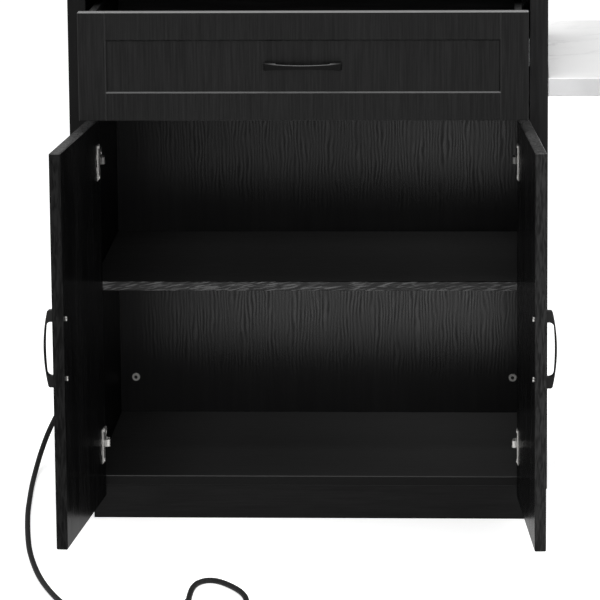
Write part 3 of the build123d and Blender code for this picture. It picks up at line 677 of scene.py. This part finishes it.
class CART_OT_cord(bpy.types.Operator):
    """Power cord with its coil, tie and plug"""
    bl_idname = "cart.cord"
    bl_label = "Cord"

    def execute(self, context):
        scene = context.scene
        sizes = scene.cart_sizes
        colours = scene.cart_colours
        radius = sizes.cord_diameter / 2
        points = [Vector((x, FRONT_PLANE + depth, z)) for x, depth, z in CORD_DROP + CORD_AIR]
        points += [Vector((x, FRONT_PLANE + depth, radius)) for x, depth in CORD_FLOOR]
        points += [Vector((x, FRONT_PLANE + depth, sizes.coil_low)) for x, depth in CORD_LEAD]
        centre = points[-1] + Vector((sizes.coil_radius, -sizes.cord_diameter, 0))
        turns_back = sizes.coil_in + sizes.coil_climb / 2
        turns = sizes.coil_in + sizes.coil_climb + sizes.coil_out
        outward = 1 / math.cos(math.pi / COIL_STEPS)
        for i in range(1, round(COIL_STEPS * turns)):
            done = i / COIL_STEPS
            reach = outward * (sizes.coil_radius - sizes.coil_pitch * (turns_back - abs(done - turns_back)))
            share = min(max((done - sizes.coil_in) / sizes.coil_climb, 0), 1)
            angle = math.pi + 2 * math.pi * done
            points.append(centre + Vector((reach * math.cos(angle), reach * math.sin(angle),
                                           sizes.coil_pitch * share * share * (3 - 2 * share))))
        last = sizes.coil_radius - sizes.coil_pitch * (turns_back - abs(turns - turns_back))
        end = centre + Vector((0, -last, sizes.coil_pitch))
        points += [end, end + Vector((sizes.coil_radius, 0, 0))]

        data = bpy.data.curves.new("cord", "CURVE")
        data.dimensions = "3D"
        data.bevel_depth = radius
        data.bevel_resolution = 5
        data.resolution_u = 8
        data.use_fill_caps = True
        spline = data.splines.new("NURBS")
        spline.points.add(len(points) - 1)
        for spot, place in zip(spline.points, points):
            spot.co = (*place, 1.0)
        spline.order_u = 3
        spline.use_endpoint_u = True
        cord = bpy.data.objects.new("cord", data)
        scene.collection.objects.link(cord)

        data.materials.append(braid("cord_jacket", colours.jacket).material)
        paint(plastic("plug_black", colours.plastic, roughness=0.4), "power_plug", "cord_relief")
        paint(plastic("tie_black", colours.jacket, roughness=0.6), "cord_tie")
        paint(metal("blade_brass", colours.brass, roughness=0.26, metallic=1.0, brushed="X"), "plug_blades")
        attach(cord, "cart")
        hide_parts("power_cord", "cord_coil")
        return {"FINISHED"}


class CART_OT_boards(bpy.types.Operator):
    """Black wood-grain boards of the carcass and drawer"""
    bl_idname = "cart.boards"
    bl_label = "Boards"

    def execute(self, context):
        # Painted light and shade in each board's brightness factor: the top front rail and drawer back far
        # paler, the drawer front, plinth and rails darker, the right side panel's front edge paler than the
        # left's
        paint(drawer_wood(), "drawer_front")
        paint(side_wood("left", painted_lift=0.25), "left_side_panel")
        paint(side_wood("right", painted_lift=1.3), "right_side_panel")
        paint(rear_wood(), "back_panel")
        paint(wood("cross_grain", "X", specular=0.12, painted_lift=0.2, combed=0.03), *CROSS_BOARDS)
        paint(wood("inner_grain", "X", painted_lift=7.0, contrast=0.5), *INNER_BOARDS)
        paint(floor_wood(), "bottom_panel")
        paint(wood("deep_grain", "Y", painted_lift=0.6), *DEEP_BOARDS)
        paint(shelf_wood(), "shelf")
        return {"FINISHED"}


class CART_OT_doors(bpy.types.Operator):
    """Wood grain of the two doors"""
    bl_idname = "cart.doors"
    bl_label = "Doors"

    def execute(self, context):
        # Each door's inner face, free edge and top edge carry their own painted light
        paint(door_wood("left", painted_lift=0.50, edge=0.086, top_edge=0.54), "left_door")
        paint(door_wood("right", painted_lift=0.75, edge=0.175, top_edge=0.50), "right_door")
        return {"FINISHED"}


class CART_OT_tops(bpy.types.Operator):
    """Marble-look worktop and side leaf"""
    bl_idname = "cart.tops"
    bl_label = "Tops"

    def execute(self, context):
        paint(marble("worktop_marble", "worktop", fade=0.001), "worktop")
        paint(marble("leaf_marble", "side_leaf", fade=0.09), "side_leaf")
        return {"FINISHED"}


class CART_OT_pulls(bpy.types.Operator):
    """Bow pulls, leaf brackets, shelf pins and plain screws"""
    bl_idname = "cart.pulls"
    bl_label = "Pulls and brackets"

    def execute(self, context):
        colours = context.scene.cart_colours
        satin = metal("satin_black", colours.metal, roughness=0.3, metallic=0.0, specular=0.15)
        paint(satin, "left_door_pull", "right_door_pull")
        paint(drawer_pull_metal(), "drawer_pull")
        paint(metal("powder_black", colours.metal, roughness=0.5, metallic=0.0), "leaf_brackets")
        steel = metal("screw_steel", colours.nickel, roughness=0.3, metallic=1.0)
        paint(steel, *PULL_SCREWS, "leaf_bracket_screws", "shelf_pins")
        paint(back_screw_metal(), "back_panel_screws")
        return {"FINISHED"}


class CART_OT_hinges(bpy.types.Operator):
    """Concealed hinges, the screws that hold them and the rims of their cups"""
    bl_idname = "cart.hinges"
    bl_label = "Hinges"

    def execute(self, context):
        sizes = context.scene.cart_sizes
        colours = context.scene.cart_colours
        # Plain nickel and shaded copies of it: painted shade on the cups, and on the upper arms and links,
        # while the lower arms and links stay plain
        nickel, shaded, cup = (
            metal(name, times(share, colours.nickel), roughness=0.34, metallic=0.45)
            for name, share in (("nickel", 1.0), ("shaded_nickel", 0.2), ("cup_nickel", 0.4)))
        # Painted shade of the cross recesses
        dark = metal("cross_dark", colours.metal, roughness=0.6, metallic=0.0)
        for side in SIDES:
            way = 1 if side == "left" else -1
            normal = Vector((way * math.sin(DOOR_REST), math.cos(DOOR_REST), 0))
            free = Vector((way * math.cos(DOOR_REST), -math.sin(DOOR_REST), 0))
            along_rim = Matrix((free, (0, 0, 1), normal)).transposed().to_4x4()
            plate_heads, plate_crosses, cup_heads, cup_crosses, rims = (bmesh.new() for _ in range(5))
            for level in LEVELS:
                paint(cup, f"{side}_{level}_hinge_cup")
                paint(nickel if level == "lower" else shaded,
                      f"{side}_{level}_hinge_arm", f"{side}_{level}_hinge_link")
                low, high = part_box(f"{side}_{level}_hinge_arm")
                wall = low.x if side == "left" else high.x
                places = [(wall + way * PLATE_THICKNESS, low.y + PLATE_SCREW_DEPTH, z)
                          for z in (low.z + PLATE_SCREW_END, high.z - PLATE_SCREW_END)]
                places.append((wall + way * ARM_HEIGHT, high.y - ARM_SCREW_BACK, (low.z + high.z) / 2))
                for place in places:
                    add_screw(plate_heads, plate_crosses, facing((way, 0, 0), place), sizes)
                low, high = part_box(f"{side}_{level}_hinge_cup")
                face = Vector((way * CUP_FACE[0], FRONT_PLANE + CUP_FACE[1], (low.z + high.z) / 2))
                middle = face + free * sizes.rim_reach - normal * (FLANGE - sizes.rim_height / 2)
                add_rim(rims, Matrix.Translation(middle) @ along_rim, sizes)
                for z in (-sizes.cup_screws / 2, sizes.cup_screws / 2):
                    add_screw(cup_heads, cup_crosses, facing(normal, face + Vector((0, 0, z))), sizes)
            mesh_piece(f"{side}_cup_rims", rims, nickel, f"{side}_door")
            mesh_piece(f"{side}_cup_screws", cup_heads, nickel, f"{side}_door")
            mesh_piece(f"{side}_cup_crosses", cup_crosses, dark, f"{side}_door")
            mesh_piece(f"{side}_plate_screws", plate_heads, nickel, "cart")
            mesh_piece(f"{side}_plate_crosses", plate_crosses, dark, "cart")
        paint(nickel, "hinge_pins")
        return {"FINISHED"}


class CART_OT_slides(bpy.types.Operator):
    """Telescopic drawer slides"""
    bl_idname = "cart.slides"
    bl_label = "Slides"

    def execute(self, context):
        zinc = metal("zinc", context.scene.cart_colours.zinc, roughness=0.36, metallic=1.0, brushed="Y")
        paint(zinc, *(f"{side}_slide_{part}" for side in SIDES for part in ("outer", "middle", "inner")))
        return {"FINISHED"}


class CART_OT_strip(bpy.types.Operator):
    """Power strip and its sockets"""
    bl_idname = "cart.strip"
    bl_label = "Power strip"

    def execute(self, context):
        base = context.scene.cart_colours.plastic
        paint(plastic("strip_black", base, roughness=0.45), "power_strip")
        paint(plastic("socket_black", times(1.6, base), roughness=0.3), "strip_sockets")
        return {"FINISHED"}


OPERATORS = (CART_OT_stage, CART_OT_cord, CART_OT_boards, CART_OT_doors, CART_OT_tops, CART_OT_pulls,
             CART_OT_hinges, CART_OT_slides, CART_OT_strip)


class CART_PT_panel(bpy.types.Panel):
    """Buttons for each group of pieces, and their sizes and colours"""
    bl_idname = "CART_PT_panel"
    bl_label = "Kitchen cart"
    bl_space_type = "VIEW_3D"
    bl_region_type = "UI"
    bl_category = "Cart"

    def draw(self, context):
        for operator in OPERATORS:
            self.layout.operator(operator.bl_idname)
        for group in (context.scene.cart_colours, context.scene.cart_sizes, context.scene.cart_light):
            for key in group.__annotations__:
                self.layout.prop(group, key)


CLASSES = (CartColours, CartSizes, CartLight, *OPERATORS, CART_PT_panel)


def register():
    for cls in CLASSES:
        bpy.utils.register_class(cls)
    bpy.types.Scene.cart_colours = bpy.props.PointerProperty(type=CartColours)
    bpy.types.Scene.cart_sizes = bpy.props.PointerProperty(type=CartSizes)
    bpy.types.Scene.cart_light = bpy.props.PointerProperty(type=CartLight)


def unregister():
    del bpy.types.Scene.cart_colours
    del bpy.types.Scene.cart_sizes
    del bpy.types.Scene.cart_light
    for cls in reversed(CLASSES):
        bpy.utils.unregister_class(cls)


def main():
    register()
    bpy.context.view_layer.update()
    bpy.ops.cart.stage()
    bpy.ops.cart.cord()
    bpy.ops.cart.boards()
    bpy.ops.cart.doors()
    bpy.ops.cart.tops()
    bpy.ops.cart.pulls()
    bpy.ops.cart.hinges()
    bpy.ops.cart.slides()
    bpy.ops.cart.strip()


if __name__ == "__main__":
    main()
